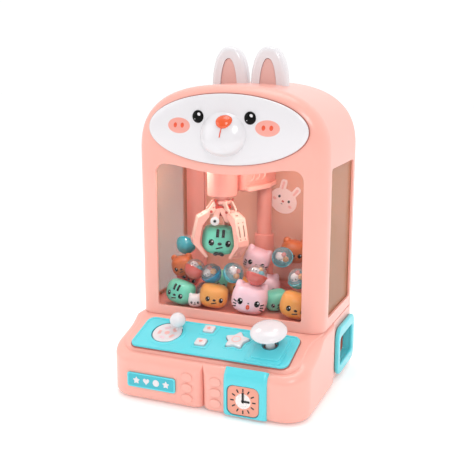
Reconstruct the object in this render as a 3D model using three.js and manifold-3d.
// A tabletop claw crane toy with a rabbit face: a rounded base with a sloped control deck, an arched
// cabin with clear windows, and a swinging, lifting crane with a three-prong claw over a pile of prizes.
// Millimetres, +Z up, front towards -Y. The origin is on the table under the middle of the machine.
import * as THREE from "three";
import { mergeVertices } from "three/addons/utils/BufferGeometryUtils.js";
import Module from "manifold-3d";

const wasm = await Module();
wasm.setup();

// ---------- driving dimensions ----------
const GAP = 0.3; // clearance between touching pieces
const WALL = 2.6; // moulded wall thickness
const DEG = Math.PI / 180;

const TOWER = { half: 115, front: -34, back: 107, split: -16, spring: 275, rise: 79, power: 2.6, foot: 79 };
const FRONT_FILLET = 16;
const REAR_FILLET = 14;
const BASE = { half: 118.5, front: -108.7, shoulder: 20, bottom: 2, corner: 28 };
const WINDOW = { half: 90.5, low: 91.5, high: 263.5, sag: 8.5, radius: 12 };
const SIDE_WINDOW = { front: -8.5, back: 87.5, low: 92, high: 264, radius: 4 };
const PANE = 1.2;
const FLOOR_TOP = 87;

const DECK = { slope: 17.4 * DEG, y: -71.25, z: 69.55, width: 191, length: 56, radius: 9 };
const DECK_DROP = 1.5; // the deck lies this far under the panel's top face
const BOARD_DEPTH = 12.4; // top of the circuit board under the panel's face
const DIAL = { x: -61, y: 2.5, r: 17.5 };
const KNOB = { x: -50.4, y: 13.4, r: 9.3, lift: 12 };
const SQUARE_BUTTONS = { x: -13.6, ys: [18, -6.8], width: 13, length: 11.5, radius: 2.4 };
const STAR = { x: 25.6, y: 5, outer: 16, inner: 9.6 };
const LEVER = { x: 66.3, y: 4, head: 20.5, stem: 5.6, pivot: -12 };
const GATE = { x: 67, y: -1, width: 35, length: 44, height: 2.2 };

const FACE = { z: 305.5, halfX: 95.5, halfZ: 39.5, edgeY: -37, bulge: 5.5 };
const MUZZLE = { z: 303, halfX: 26.5, depth: 17, halfZ: 28, y: -37, lean: -24 * DEG }; // its top leans back into the face
const EYE = { x: 31, z: 319.5, r: 6.8 };
const NOSE = { x: 2, y: -50, z: 316, halfX: 9.5, halfZ: 6.5 };
const EAR = { x: 24.5, front: 30, back: 48, half: 22.6, foot: 350, rise: 46, inner: 10.9, innerTop: 382.6 };

const OUTLET = { front: 22, back: 100, low: 8, high: 68, outer: 120.5, radius: 14, rim: 10 };
const CHUTE_HOLE = { x0: 62, x1: 99, y0: 32, y1: 70 };
const STRAP = { x0: 27.5, x1: 77.5, front: -112.2, cx: 51, cz: 22.5, width: 38, height: 35 };
const PLATE = { cx: -61.5, cz: 25.4, width: 61, height: 17.5 };
const DOTS = { x: 14.5, zs: [38.3, 25.8, 13.3], r: 5.4, proud: 1.4 };

const MAST = { x: 0, y: 90, tube: 9.3, sleeve: 12.4, sleeveTop: 161.7 };
const CRANE_TURN = -18.4 * DEG; // the boom is stored swung towards the left wall
const GEAR = { teeth: 24, pinionTeeth: 12, module: 1, z0: 62, z1: 67, phase: 5.8 * DEG };
const GEAR_GAP = (GEAR.module * (GEAR.teeth + GEAR.pinionTeeth)) / 2;
const MOTOR_LOW = 20;
const BOOM = { reach: 81.1, half: 19, low: 226, high: 268, lipHalf: 26, lip: 6 };
const HUB = { r: 18.2, low: 222, high: 286 };
const CLAW = { pivotR: 15, pivotZ: 204, elbowR: 37, elbowZ: 169, tipR: 20, tipZ: 148.5, width: 17, thick: 3.2,
  kneeR: 31, kneeZ: 198 };
const PRONG_AZIMUTHS = [233.4, 113.4, -6.6]; // degrees about the hub, before the boom's own turn

// ---------- colours ----------
const plastic = (color, roughness = 0.35) => new THREE.MeshStandardMaterial({ color, roughness, metalness: 0 });
const pink = plastic(0xf7b3a6);
const white = plastic(0xf7f6f6, 0.25);
const cyan = plastic(0x5ed3de);
const orange = plastic(0xf26a35);
const black = plastic(0x0c0c0e, 0.2);
const clear = new THREE.MeshStandardMaterial({ color: 0xffffff, roughness: 0.05, transparent: true, opacity: 0.2 });
const darkGrey = plastic(0x33363a, 0.6);
const steel = new THREE.MeshStandardMaterial({ color: 0xb9bcc0, roughness: 0.3, metalness: 1 });
const green = plastic(0x2f7d4a, 0.5);

// ---------- solids ----------
const solid = (geometry) => {
  const g = (geometry.index ? geometry.toNonIndexed() : geometry.clone()).deleteAttribute("normal");
  g.deleteAttribute("uv");
  const merged = mergeVertices(g, 1e-4);
  return new wasm.Manifold(
    new wasm.Mesh({
      numProp: 3,
      vertProperties: merged.attributes.position.array,
      triVerts: new Uint32Array(merged.index.array),
    }),
  );
};

const toGeometry = (made) => {
  const mesh = made.getMesh();
  const count = mesh.vertProperties.length / mesh.numProp;
  const points = new Float32Array(count * 3);
  for (let i = 0; i < count; i++)
    points.set(mesh.vertProperties.subarray(i * mesh.numProp, i * mesh.numProp + 3), i * 3);
  return new THREE.BufferGeometry()
    .setAttribute("position", new THREE.BufferAttribute(points, 3))
    .setIndex(new THREE.BufferAttribute(mesh.triVerts, 1));
};

// The biggest of a solid's separate bodies, which drops slivers left by a cut.
const largest = (made) => made.decompose().reduce((a, b) => (b.volume() > a.volume() ? b : a));

const box = (x0, x1, y0, y1, z0, z1) =>
  solid(new THREE.BoxGeometry(x1 - x0, y1 - y0, z1 - z0).translate((x0 + x1) / 2, (y0 + y1) / 2, (z0 + z1) / 2));

const cylinder = (r, z0, z1, x = 0, y = 0, sides = 24) =>
  solid(new THREE.CylinderGeometry(r, r, z1 - z0, sides).rotateX(Math.PI / 2).translate(x, y, (z0 + z1) / 2));

const tube = (outer, inner, z0, z1, x = 0, y = 0, sides = 24) =>
  cylinder(outer, z0, z1, x, y, sides).subtract(cylinder(inner, z0 - 1, z1 + 1, x, y, sides));

// Solid of revolution about Z from [radius, z] pairs that start and end on the axis.
const lathe = (pairs, sides = 24) =>
  solid(
    new THREE.LatheGeometry(pairs.map(([r, z]) => new THREE.Vector2(r, z)), sides).rotateX(Math.PI / 2),
  );

const shapeOf = (points) => new THREE.Shape(points.map(([x, y]) => new THREE.Vector2(x, y)));

const roundedRect = (w, h, r, cx = 0, cy = 0, steps = 4) => {
  const points = [];
  const corners = [[w / 2 - r, h / 2 - r, 0], [r - w / 2, h / 2 - r, 90], [r - w / 2, r - h / 2, 180], [w / 2 - r, r - h / 2, 270]];
  for (const [x, y, start] of corners)
    for (let i = 0; i <= steps; i++) {
      const a = (start + (90 * i) / steps) * DEG;
      points.push([cx + x + r * Math.cos(a), cy + y + r * Math.sin(a)]);
    }
  return points;
};

const ellipse = (a, b, cx = 0, cy = 0, steps = 24) =>
  Array.from({ length: steps }, (_, i) => {
    const t = (2 * Math.PI * i) / steps;
    return [cx + a * Math.cos(t), cy + b * Math.sin(t)];
  });

// Prism along +Z, z0 to z1.
const prism = (points, z0, z1) =>
  solid(new THREE.ExtrudeGeometry(shapeOf(points), { depth: z1 - z0, bevelEnabled: false }).translate(0, 0, z0));

// Prism whose outline is given as [x, z] and which runs from y0 (front) to y1 (back).
const slabY = (points, y0, y1) => prism(points, 0, y1 - y0).rotate([90, 0, 0]).translate([0, y1, 0]);

// Prism whose outline is given as [y, z] and which runs from x0 to x1.
const slabX = (points, x0, x1) => prism(points, 0, x1 - x0).rotate([90, 0, 90]).translate([x0, 0, 0]);

// Solid through a stack of outlines with equal point counts, each [x, z] at its own y, front first.
const loftY = (loops) => {
  const n = loops[0].points.length;
  const positions = loops.flatMap(({ points, y }) => points.flatMap(([x, z]) => [x, y, z]));
  const index = [];
  for (let k = 0; k + 1 < loops.length; k++)
    for (let i = 0; i < n; i++) {
      const j = (i + 1) % n;
      const [a, b, c, d] = [k * n + i, k * n + j, (k + 1) * n + i, (k + 1) * n + j];
      index.push(a, c, b, b, c, d);
    }
  const cap = (loop, first, flip) => {
    const flat = loop.points.map(([x, z]) => new THREE.Vector2(x, z));
    for (const [a, b, c] of THREE.ShapeUtils.triangulateShape(flat, []))
      index.push(...(flip ? [first + a, first + c, first + b] : [first + a, first + b, first + c]));
  };
  cap(loops[0], 0, false);
  cap(loops.at(-1), (loops.length - 1) * n, true);
  const g = new THREE.BufferGeometry()
    .setAttribute("position", new THREE.Float32BufferAttribute(positions, 3))
    .setIndex(index);
  return solid(g);
};

// The cabin's arch as [x, z], counter-clockwise seen from the front, inset from the outer face.
const arch = (inset, foot = TOWER.foot, steps = 9) => {
  const half = TOWER.half - inset;
  const rise = TOWER.rise - inset;
  const curve = [];
  for (let i = 0; i <= 2 * steps; i++) {
    const t = (Math.PI * i) / (2 * steps);
    const [c, s] = [Math.cos(t), Math.sin(t)];
    const x = half * Math.sign(c) * Math.abs(c) ** (2 / TOWER.power);
    curve.push([x, TOWER.spring + rise * Math.abs(s) ** (2 / TOWER.power)]);
  }
  return [[-half, foot], [half, foot], ...curve];
};

// Arch solid from yFront to yBack with a rounded edge of radius r at one end.
const archSolid = (inset, yFront, yBack, r, roundFront, foot) => {
  const steps = 3;
  const loops = [{ y: roundFront ? yBack : yFront, points: arch(inset, foot) }];
  for (let i = 0; i <= steps; i++) {
    const a = (Math.PI / 2) * (i / steps);
    const y = roundFront ? yFront + r * (1 - Math.sin(a)) : yBack - r * (1 - Math.sin(a));
    loops.push({ y, points: arch(inset + r * (1 - Math.cos(a)), foot) });
  }
  return loftY(roundFront ? loops.reverse() : loops);
};

// ---------- the scene graph ----------
const machine = new THREE.Group();
const add = (name, made, material, parent = machine) => {
  const mesh = new THREE.Mesh(made.isBufferGeometry ? made : toGeometry(made), material);
  mesh.name = name;
  parent.add(mesh);
  return mesh;
};

// ---------- base ----------
// Plan outline of the base: round front corners, a notch between the two feet, narrower rear.
const basePlan = (inset) => {
  const half = BASE.half - inset;
  const rear = TOWER.half - inset;
  const front = BASE.front + inset;
  const r = BASE.corner - inset;
  const back = TOWER.back - inset;
  const notch = inset ? [[4.1, -96.4], [4.1, -103], [8, front]] : [[1.2, -99], [1.2, -103], [6, front]];
  const side = [...notch];
  for (let i = 0; i <= 5; i++) {
    const a = (-90 + 18 * i) * DEG;
    side.push([half - r + r * Math.cos(a), front + r + r * Math.sin(a)]);
  }
  side.push([half, BASE.shoulder - 8 - inset], [rear, BASE.shoulder - inset]);
  const rr = REAR_FILLET - inset;
  for (let i = 0; i <= 3; i++) {
    const a = 30 * i * DEG;
    side.push([rear - rr + rr * Math.cos(a), back - rr + rr * Math.sin(a)]);
  }
  return [...side, ...side.map(([x, y]) => [-x, y]).reverse()];
};

// Everything above the sloped deck, lowered by drop, and above the cabin's foot.
const aboveDeck = (drop) => {
  const lift = Math.tan(DECK.slope);
  const z = (y) => DECK.z - DECK_DROP - drop + (y - DECK.y) * lift;
  return slabX([[-130, z(-130)], [TOWER.front, z(TOWER.front)], [TOWER.front, TOWER.foot - GAP - drop],
    [130, TOWER.foot - GAP - drop], [130, 140], [-130, 140]], -130, 130);
};

// The cut that rounds off the front top edge.
const frontChamfer = (inset) =>
  slabX([[-120, 44 - inset], [BASE.front + inset, 44 - inset], [-106.5 + inset, 51 - inset],
    [-101 + inset, 57.2 - inset], [-92, 61.2 - inset], [-92, 90], [-120, 90]], -130, 130);

const onDeck = (made) =>
  made.rotate([DECK.slope / DEG, 0, 0]).translate([0, DECK.y, DECK.z]);

const baseShell = () => {
  const outer = prism(basePlan(0), BASE.bottom, 100).subtract(aboveDeck(0)).subtract(frontChamfer(0));
  const cavity = prism(basePlan(WALL), BASE.bottom - 5, 100).subtract(aboveDeck(WALL)).subtract(frontChamfer(WALL));
  const rearWell = box(-108, 108, TOWER.front + 6, TOWER.back - 3.5, 40, 100);
  const panelHole = onDeck(prism(roundedRect(178, 50, 5), -12, 6));
  const outletHole = box(100, 125, 29.5, 93.5, 16.5, 56.5);
  const switchSlot = box(-66, -54, 100, 112, 22, 28);
  let made = outer.subtract(cavity).subtract(rearWell).subtract(panelHole).subtract(outletHole).subtract(switchSlot);
  for (const side of [-1, 1])
    for (const z of DOTS.zs)
      made = made.add(
        slabY(ellipse(DOTS.r, DOTS.r, side * DOTS.x, z, 14), BASE.front - DOTS.proud, BASE.front + 1),
      );
  return made;
};
add("base_shell", baseShell(), pink);

const PLATE_Z = [3, 5.4]; // bottom plate
const FEET = [[-88, -88], [88, -88], [-88, 86], [88, 86]];
const bottomPlate = () => {
  const sheet = prism(basePlan(WALL + GAP), ...PLATE_Z);
  const battery = box(-96, -34, -78, -20, 5, 24).subtract(box(-94, -36, -76, -22, 0, 22));
  const tray = sheet.subtract(box(-94, -36, -76, -22, 0, 10)).add(battery);
  const stands = tray.add(cylinder(5, 5, GEAR.z0 - GAP, MAST.x, MAST.y, 12))
    .add(cylinder(6, 5, MOTOR_LOW - GAP, MAST.x - GEAR_GAP, MAST.y - 1, 12));
  return FEET.reduce((made, [x, y]) => made.add(cylinder(8, 0, PLATE_Z[0] + 1, x, y, 16)), stands);
};
add("bottom_plate", bottomPlate(), pink);
add("battery_door", box(-93.6, -36.4, -75.6, -22.4, 2.4, 4.8), pink);
const cells = [-63.4, -49, -34.6].map((y) =>
  solid(new THREE.CylinderGeometry(7.6, 7.6, 50.5, 14).rotateZ(Math.PI / 2).translate(-65, y, 13.6)));
add("battery_pack", cells.reduce((a, b) => a.add(b)), darkGrey);

add("circuit_board", onDeck(prism(roundedRect(96, 36, 2, -8, 0), -BOARD_DEPTH - 1.6, -BOARD_DEPTH)), green);
add("speaker", lathe([[0, 5.7], [22, 5.7], [22, 9], [10, 18], [10, 24], [0, 24]], 20).translate([40, -50, 0]), darkGrey);
add("power_switch", box(-64, -60, 103, 109, 22.6, 27.4).add(box(-67.5, -56.5, 101.4, 104.1, 20, 30)), darkGrey);

// ---------- control panel, in its own sloped frame ----------
const panel = new THREE.Group();
panel.position.set(0, DECK.y, DECK.z);
panel.rotation.x = DECK.slope;
machine.add(panel);

const starOutline = (outer, inner, cx, cy, grow = 0) =>
  Array.from({ length: 10 }, (_, i) => {
    const r = (i % 2 ? inner : outer) + grow;
    const a = (90 + 36 * i) * DEG;
    return [cx + r * Math.cos(a), cy + r * Math.sin(a)];
  });

const controlPanel = () => {
  const top = 0;
  let made = prism(roundedRect(DECK.width, DECK.length, DECK.radius), top - DECK_DROP + GAP, top + 0.9);
  made = made.add(prism(roundedRect(176, 48, 4), -3.2, 0));
  made = made.add(prism(roundedRect(GATE.width, GATE.length, 3, GATE.x, GATE.y), 0, GATE.height + 0.9));
  made = made.subtract(cylinder(DIAL.r + 0.7, -1.8, 5, DIAL.x, DIAL.y, 28));
  made = made.subtract(cylinder(4.4, -5, 5, DIAL.x, DIAL.y, 14));
  for (const x of [-37, 1.5]) made = made.add(cylinder(2.4, -BOARD_DEPTH + GAP, -1, x, 0, 10));
  for (const y of SQUARE_BUTTONS.ys)
    made = made.subtract(prism(roundedRect(SQUARE_BUTTONS.width + 0.8, SQUARE_BUTTONS.length + 0.8,
      SQUARE_BUTTONS.radius + 0.4, SQUARE_BUTTONS.x, y), -5, 5));
  made = made.subtract(prism(starOutline(STAR.outer, STAR.inner, STAR.x, STAR.y, 0.6), -5, 5));
  return made.subtract(cylinder(LEVER.stem + 3.2, -5, 6, LEVER.x, LEVER.y, 20));
};
add("control_panel", controlPanel(), cyan, panel);

add("dial_plate", lathe([[0, -9], [4, -9], [4, -1.5], [DIAL.r, -1.5], [DIAL.r, 1.2], [DIAL.r * 0.6, 2.4], [0, 2.8]], 28)
  .translate([DIAL.x, DIAL.y, 0]), white, panel);
add("dial_knob", lathe([[0, 3.1], [3.4, 3.1], [3.4, 4.6], [6.6, 5.4], [9.1, 10], [9.3, 12], [8, 16.6], [4.6, 20], [0, 21.3]], 20)
  .translate([KNOB.x, KNOB.y, 0]), white, panel);
for (const [i, y] of SQUARE_BUTTONS.ys.entries())
  add(["music_button", "light_button"][i],
    prism(roundedRect(SQUARE_BUTTONS.width, SQUARE_BUTTONS.length, SQUARE_BUTTONS.radius, SQUARE_BUTTONS.x, y), -6, 3.8)
      .add(prism(roundedRect(SQUARE_BUTTONS.width + 3, SQUARE_BUTTONS.length + 3, 2, SQUARE_BUTTONS.x, y, 1), -6, -4.6)),
    white, panel);
add("star_button", prism(starOutline(STAR.outer, STAR.inner, STAR.x, STAR.y), -6, 4.2)
  .add(prism(starOutline(STAR.outer, STAR.inner, STAR.x, STAR.y, 2), -6, -4.6)), white, panel);
// The joystick hangs in a gimbal: its ball turns on pins along Y in a ring, the ring on pins along X in a cup.
const pinX = (r, reach) => cylinder(r, -reach, reach, 0, 0, 8).rotate([0, 90, 0]).translate([LEVER.x, LEVER.y, LEVER.pivot]);
const pinY = (r, reach) => cylinder(r, -reach, reach, 0, 0, 8).rotate([90, 0, 0]).translate([LEVER.x, LEVER.y, LEVER.pivot]);
const knobProfile = [[0, 15], [6.5, 15], [12, 17.2], [LEVER.head, 21.4], [LEVER.head, 23],
  [16.5, 26.2], [9, 28.4], [0, 29.2]];
add("joystick", cylinder(LEVER.stem, -9, 16, LEVER.x, LEVER.y, 16)
  .add(lathe(knobProfile, 28).translate([LEVER.x, LEVER.y, 0]))
  .add(solid(new THREE.SphereGeometry(6, 14, 8).translate(LEVER.x, LEVER.y, LEVER.pivot)))
  .add(pinY(1.4, 8.6)), white, panel);
add("joystick_ring", tube(9.4, 6.5, LEVER.pivot - 3, LEVER.pivot + 3, LEVER.x, LEVER.y, 20)
  .add(pinX(1.4, 12.6).subtract(cylinder(8, -20, 0, LEVER.x, LEVER.y, 12))).subtract(pinY(1.7, 20)), darkGrey, panel);
add("joystick_cup", tube(14, 10.2, -20.5, -3.6, LEVER.x, LEVER.y, 24)
  .add(cylinder(14, -22, -20, LEVER.x, LEVER.y, 24)).subtract(pinX(1.7, 20)), darkGrey, panel);

// ---------- front of the base ----------
// A band over the front edge, as [y, z], with the clock let into its front.
const clockStrap = () => {
  const front = STRAP.front;
  const inner = BASE.front - GAP;
  const profile = [[front, 2.6], [front, 43], [front + 2.6, 52], [front + 6.4, 57], [-104.4, 58.8],
    [-103.6, 57.4], [-107.2, 51.6], [inner, 44.4], [inner, 2.6]];
  return slabX(profile, STRAP.x0, STRAP.x1)
    .subtract(slabY(roundedRect(STRAP.width, STRAP.height, 8, STRAP.cx, STRAP.cz), front - 5, front + 2.2));
};
add("clock_strap", clockStrap(), cyan);
const clockPin = (r, grow, sides) => slabY(ellipse(r, r, STRAP.cx, STRAP.cz, sides), STRAP.front - grow, STRAP.front + 1.2 + grow);
add("clock_face", slabY(roundedRect(STRAP.width - 0.8, STRAP.height - 0.8, 7.6, STRAP.cx, STRAP.cz),
  STRAP.front + 0.9, STRAP.front + 1.9).add(clockPin(0.9, 0, 8)), pink);
const hand = (length, width, y, turn) =>
  slabY([[-width / 2, 0], [width / 2, 0], [width / 2, length], [-width / 2, length]], y, y + 0.3)
    .add(slabY(ellipse(2.4, 2.4, 0, 0, 10), y, y + 0.3)).rotate([0, turn, 0])
    .translate([STRAP.cx, 0, STRAP.cz]).subtract(clockPin(1.2, 2, 8));
add("minute_hand", hand(10.4, 2.6, STRAP.front + 0.1, 0), black);
add("hour_hand", hand(8, 2.6, STRAP.front + 0.5, 90), black);
add("name_plate", slabY(roundedRect(PLATE.width, PLATE.height, 3, PLATE.cx, PLATE.cz),
  BASE.front - 2, BASE.front - GAP), cyan);

// ---------- cabin ----------
// The window's outline: round corners, and a top edge that sags under the face.
const windowOutline = () => {
  const { half, low, high, sag, radius: r } = WINDOW;
  const right = [[half, low]];
  for (let i = 0; i <= 3; i++) right.push([half - r + r * Math.cos(30 * i * DEG), high - r + r * Math.sin(30 * i * DEG)]);
  for (const x of [58, 40, 20]) right.push([x, high - sag * Math.cos((x / 72) * (Math.PI / 2)) ** 1.2]);
  return [...right, [0, high - sag], ...right.map(([x, z]) => [-x, z]).reverse()];
};
const frontFrame = () => {
  const outer = archSolid(0, TOWER.front, TOWER.split, FRONT_FILLET, true, TOWER.foot + 1);
  const cavity = archSolid(WALL, TOWER.front + 3, TOWER.split + 5, FRONT_FILLET - WALL, true, TOWER.foot - 5);
  return outer.subtract(cavity).subtract(slabY(windowOutline(), TOWER.front - 5, TOWER.front + 8));
};
add("front_frame", frontFrame(), pink);

const DOOR = { half: 92, low: 93, high: 262, radius: 10 };
const cabinShell = () => {
  const outer = archSolid(0, TOWER.split + GAP, TOWER.back, REAR_FILLET, false, TOWER.foot);
  const cavity = archSolid(WALL, TOWER.split - 5, TOWER.back - WALL, REAR_FILLET - WALL, false, TOWER.foot - 5);
  const w = SIDE_WINDOW;
  const hole = slabX(roundedRect(w.back - w.front, w.high - w.low, w.radius, (w.front + w.back) / 2,
    (w.low + w.high) / 2, 2), -130, 130);
  const doorHole = slabY(roundedRect(2 * DOOR.half, DOOR.high - DOOR.low, DOOR.radius, 0, (DOOR.low + DOOR.high) / 2),
    TOWER.back - 8, TOWER.back + 5);
  return outer.subtract(cavity).subtract(hole).subtract(doorHole);
};
add("cabin_shell", cabinShell(), pink);

add("front_pane", slabY([[-96, 89], [96, 89], [96, 268], [-96, 268]], TOWER.front + 3 + GAP, TOWER.front + 3 + GAP + PANE), clear);
const sidePane = (x0) => box(x0, x0 + PANE, SIDE_WINDOW.front - 4, SIDE_WINDOW.back + 3.5, 88.5, 268);
add("left_pane", sidePane(-(TOWER.half - WALL - GAP)), clear);
add("right_pane", sidePane(TOWER.half - WALL - GAP - PANE), clear);

const DOOR_HINGE = { x: -96.2, y: TOWER.back + 1.8 };
const backDoor = () => {
  const mid = (DOOR.low + DOOR.high) / 2;
  const height = DOOR.high - DOOR.low;
  const [y0, y1] = [TOWER.back + GAP, TOWER.back + 3];
  let made = slabY(roundedRect(2 * DOOR.half + 7, height + 7, DOOR.radius + 3, 0, mid), y0, y1)
    .subtract(slabY(roundedRect(2 * DOOR.half - 12, height - 12, DOOR.radius, 0, mid), y0 - 2, y1 + 2));
  for (const z of [120, 228]) made = made.add(cylinder(1.4, z, z + 14, DOOR_HINGE.x, DOOR_HINGE.y, 10));
  return made;
};
add("back_door", backDoor(), pink);
add("back_pane", slabY([[-89, 96], [89, 96], [89, 259], [-89, 259]], TOWER.back - PANE - 0.4, TOWER.back - 0.4 + GAP / 2), clear);
add("door_latch", slabY(roundedRect(9, 16, 3, 90.5, 177), TOWER.back + 3 + GAP, TOWER.back + 5), cyan);

const cabinFloor = () => {
  const outline = [[-95, -28.5], [95, -28.5], [112.1, -12], [112.1, 90], [98, 103.8], [-98, 103.8], [-112.1, 90], [-112.1, -12]];
  const h = CHUTE_HOLE;
  const guard = box(h.x0 - 2, h.x1 + 2, h.y0 - 2, h.y1 + 2, FLOOR_TOP - 1, 112);
  return prism(outline, FLOOR_TOP - 2.6, FLOOR_TOP).add(guard)
    .subtract(box(h.x0, h.x1, h.y0, h.y1, 70, 120)).subtract(cylinder(MAST.sleeve + 0.8, 70, 100, MAST.x, MAST.y));
};
add("cabin_floor", cabinFloor(), pink);

const prizeChute = () => {
  const h = CHUTE_HOLE;
  const outer = box(h.x0 - 3, 107.4, h.y0 - 3, 94, 12, FLOOR_TOP - 2.6 - GAP);
  const room = box(h.x0 - 1, 120, h.y0 - 1, 92, 14, 100);
  const slide = prism([[h.x0 - 2, 14], [107.4, 14], [107.4, 18], [h.x0 - 2, 46]], 0, 94 - h.y0 + 3)
    .rotate([90, 0, 0]).translate([0, 94, 0]);
  return outer.subtract(room).add(slide);
};
add("prize_chute", prizeChute(), pink);

const outletFrame = () => {
  const o = OUTLET;
  const [cy, cz] = [(o.front + o.back) / 2, (o.low + o.high) / 2];
  const [w, h] = [o.back - o.front, o.high - o.low];
  const flange = slabX(roundedRect(w, h, o.radius, cy, cz), TOWER.half + GAP, o.outer);
  const tunnel = slabX(roundedRect(w - 2 * o.rim + 3, h - 2 * o.rim - 2, 4, cy, cz - 1), 108, TOWER.half + 1);
  const hole = slabX(roundedRect(w - 2 * o.rim, h - 2 * o.rim - 5, 5, cy, cz - 1), 100, 130);
  return flange.add(tunnel).subtract(hole);
};
add("outlet_frame", outletFrame(), cyan);

// ---------- rabbit face ----------
const facePlate = () => {
  const loops = [{ y: FACE.edgeY + 2.7, k: 1 }, { y: FACE.edgeY, k: 1 }];
  for (const k of [0.97, 0.85, 0.65, 0.35, 0.05]) loops.push({ y: FACE.edgeY - FACE.bulge * Math.sqrt(1 - k * k), k });
  return loftY(loops.reverse().map(({ y, k }) => ({ y, points: ellipse(FACE.halfX * k, FACE.halfZ * k, 0, FACE.z, 28) })));
};
const faceSolid = facePlate();
add("face_plate", faceSolid, white);

const ellipsoid = (a, b, c, x, y, z, wide = 18, high = 12) =>
  solid(new THREE.SphereGeometry(1, wide, high).scale(a, b, c).translate(x, y, z));
const muzzleSolid = solid(new THREE.SphereGeometry(1, 18, 12).scale(MUZZLE.halfX, MUZZLE.depth, MUZZLE.halfZ)
  .rotateX(MUZZLE.lean).translate(0, MUZZLE.y, MUZZLE.z));
const muzzle = largest(muzzleSolid.subtract(box(-40, 40, FACE.edgeY, 0, 200, 400)).subtract(faceSolid.translate([0, -GAP, 0])));
add("muzzle", muzzle, white);
add("nose", largest(ellipsoid(NOSE.halfX, 4.4, NOSE.halfZ, NOSE.x, NOSE.y, NOSE.z, 12, 8)
  .subtract(muzzleSolid.translate([0, -GAP, 0])).subtract(box(-40, 40, MUZZLE.y, 0, 200, 400))), orange);
for (const [name, side] of [["left_eye", -1], ["right_eye", 1]])
  add(name, largest(ellipsoid(EYE.r, 3.6, EYE.r, side * EYE.x, FACE.edgeY - 4.6, EYE.z, 12, 8)
    .subtract(box(-60, 60, FACE.edgeY, 0, 200, 400)).subtract(faceSolid.translate([0, -GAP, 0]))), black);

// ---------- ears ----------
const roundTop = (half, foot, rise, power, cx, steps = 6) => {
  const points = [];
  for (let i = 0; i <= 2 * steps; i++) {
    const t = (Math.PI * i) / (2 * steps);
    const [c, s] = [Math.cos(t), Math.sin(t)];
    points.push([cx + half * Math.sign(c) * Math.abs(c) ** (2 / power), foot + rise * Math.abs(s) ** (2 / power)]);
  }
  return points;
};
const roofCut = archSolid(-GAP, TOWER.split, TOWER.back, REAR_FILLET, false, 200);
for (const [name, side] of [["left", -1], ["right", 1]]) {
  const cx = side * EAR.x;
  const pocket = (grow, y0, y1) =>
    slabY(roundTop(EAR.inner + grow, 340, EAR.innerTop - 340 + grow, 2.6, cx), y0, y1);
  const ear = slabY(roundTop(EAR.half, EAR.foot - 6, EAR.rise + 6, 2.4, cx), EAR.front, EAR.back)
    .subtract(pocket(0, EAR.front - 2, EAR.front + 3));
  add(`${name}_ear`, largest(ear.subtract(roofCut)), white);
  add(`${name}_inner_ear`, largest(pocket(-GAP, EAR.front + 1.4, EAR.front + 3 - GAP).subtract(roofCut)), pink);
}

// ---------- crane ----------
// Everything on the turntable is built with the mast's axis as local Z and the boom along local -Y.
const crane = new THREE.Group();
crane.position.set(MAST.x, MAST.y, 0);
crane.rotation.z = CRANE_TURN;
machine.add(crane);

const toothedDisc = (teeth, root, tip, z0, z1) => {
  const points = [];
  for (let i = 0; i < teeth; i++)
    for (const [share, r] of [[0.0, root], [0.22, tip], [0.46, tip], [0.68, root]]) {
      const a = (2 * Math.PI * (i + share)) / teeth;
      points.push([r * Math.cos(a), r * Math.sin(a)]);
    }
  return prism(points, z0, z1);
};
add("mast_sleeve", tube(MAST.sleeve, MAST.tube + GAP, GEAR.z1 + GAP, MAST.sleeveTop, 0, 0, 24), pink, crane);
const gear = new THREE.Group();
gear.rotation.z = GEAR.phase;
crane.add(gear);
add("swing_gear", toothedDisc(GEAR.teeth, 10.9, 12.9, GEAR.z0, GEAR.z1), white, gear);
const pinion = new THREE.Group();
pinion.position.set(MAST.x - GEAR_GAP, MAST.y, 0);
pinion.rotation.z = -10.2 * DEG;
machine.add(pinion);
add("motor_pinion", toothedDisc(GEAR.pinionTeeth, 4.8, 6.8, GEAR.z0, GEAR.z1).add(cylinder(1.6, 54, 63, 0, 0, 12)), white, pinion);
add("swing_motor", cylinder(12, MOTOR_LOW, 53.5, MAST.x - GEAR_GAP, MAST.y - 1, 20), steel);

add("mast_tube", cylinder(MAST.tube, 70, BOOM.low - GAP, 0, 0, 20), pink, crane);
const boom = () => {
  const b = BOOM;
  const body = [[-b.half, -b.reach + 14], [b.half, -b.reach + 14], [b.half, -24], [13, 0], [9, 10], [-9, 10], [-13, 0], [-b.half, -24]];
  const lip = [[-b.lipHalf, -b.reach + 22], [b.lipHalf, -b.reach + 22], [b.lipHalf, -26], [13, 0], [9, 10], [-9, 10], [-13, 0],
    [-b.lipHalf, -26]];
  return prism(body, b.low, b.high).add(prism(lip, b.low, b.low + b.lip))
    .subtract(cylinder(HUB.r + GAP, 200, 300, 0, -b.reach, 28));
};
add("boom", boom(), pink, crane);
add("hub_housing", lathe([[0, HUB.low], [HUB.r - 1.5, HUB.low], [HUB.r, HUB.low + 1.5], [HUB.r, HUB.high - 2],
  [HUB.r - 2, HUB.high], [3.6, HUB.high], [3.6, HUB.low + 30], [0, HUB.low + 30]], 28)
  .subtract(cylinder(3.6, 200, 300, 0, 0, 14)).translate([0, -BOOM.reach, 0]), pink, crane);

const claw = new THREE.Group();
claw.position.set(0, -BOOM.reach, 0);
crane.add(claw);
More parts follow.
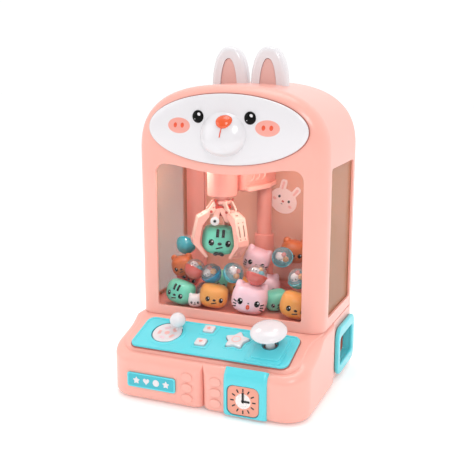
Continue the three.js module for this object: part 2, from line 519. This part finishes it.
// The head: a neck and a three-armed spider with an ear on each side of every prong's pivot.
const clawHead = () => {
  let made = cylinder(8, 210, HUB.low - GAP, 0, 0, 18).add(cylinder(12, 207.3, 211, 0, 0, 18));
  for (const azimuth of PRONG_AZIMUTHS)
    for (const side of [-1, 1])
      made = made.add(box(8, CLAW.pivotR + 3, side * 5.4 - 1.1, side * 5.4 + 1.1, 201, 211).rotate([0, 0, azimuth]));
  return made.subtract(cylinder(3.6, 190, 230, 0, 0, 14));
};
add("claw_head", clawHead(), pink, claw);
add("claw_plunger", lathe([[0, 198.3], [8.6, 198.3], [8.6, 200.4], [5.4, 200.4], [5.4, 204.6], [8.6, 204.6], [8.6, 206.6],
  [3, 206.6], [3, 250], [0, 250]], 18), white, claw);
// A prong, in the plane of its swing, as [radius, z]: inner lever, pivot eye, knee, elbow and hooked tip.
const prongSide = () => {
  const { pivotR: p, kneeR: n, kneeZ: m, elbowR: e, elbowZ: k, tipR: r, tipZ: t, thick } = CLAW;
  const outer = [[p - 1.4, 206.4], [p + 2.2, 206.4], [n, m], [e + 0.4, k + 2], [e + 0.2, k - 3.5], [r + 2.5, t - 0.4]];
  const inner = [[r - 0.8, t + 0.6], [e - thick, k - 2.4], [e - thick, k + 0.6], [n - thick, m - 2.6], [p + 0.8, 201.2], [p - 2, 201.2]];
  const lever = [[7, 201.7], [7, 203.3], [p - 2.4, 205]];
  return [...outer, ...inner, ...lever];
};
const prong = () => {
  const c = CLAW;
  const band = slabY(prongSide(), -c.width / 2, c.width / 2);
  // only a narrow tongue reaches between the head's ears and into the plunger's groove
  const shoulder = (side) => box(0, c.pivotR + 4.4, Math.min(side * 4, side * 20), Math.max(side * 4, side * 20), 190, 215);
  const slot = (y) => box(-4, 4, y - 1.3, y + 1.3, 0, 19).rotate([0, -13.3, 0]).translate([34.6, 0, 174.5]);
  return band.subtract(shoulder(-1)).subtract(shoulder(1)).subtract(slot(-4.6)).subtract(slot(4.6));
};
for (const [i, azimuth] of PRONG_AZIMUTHS.entries()) {
  const holder = new THREE.Group();
  holder.rotation.z = azimuth * DEG;
  claw.add(holder);
  add(`prong_${i + 1}`, prong(), pink, holder);
}

// ---------- prizes ----------
const prize = (name, r, x, y, z, material, tall = 0.92) =>
  add(name, ellipsoid(r, r, r * tall, x, y, z, 12, 8), material);
const mint = plastic(0x7fcdb4);
const amber = plastic(0xe9a45a);
add("held_prize", ellipsoid(19.5, 18.5, 17.2, 0, 0, 166.6, 12, 8), mint, claw);
prize("mint_prize", 16.5, -71.6, -10, FLOOR_TOP + 15.6, mint);
prize("amber_prize", 16.5, -27.9, -9, FLOOR_TOP + 15.6, amber);
prize("cat_prize", 19, 19, -9.6, FLOOR_TOP + 17.9, white);
prize("bear_prize", 17.5, 76, -10, FLOOR_TOP + 16.6, amber);
prize("green_prize", 14, 44.6, 10.7, FLOOR_TOP + 13.3, mint);
prize("blue_capsule", 12.8, -49, 14, FLOOR_TOP + 12.3, cyan);

export default machine;
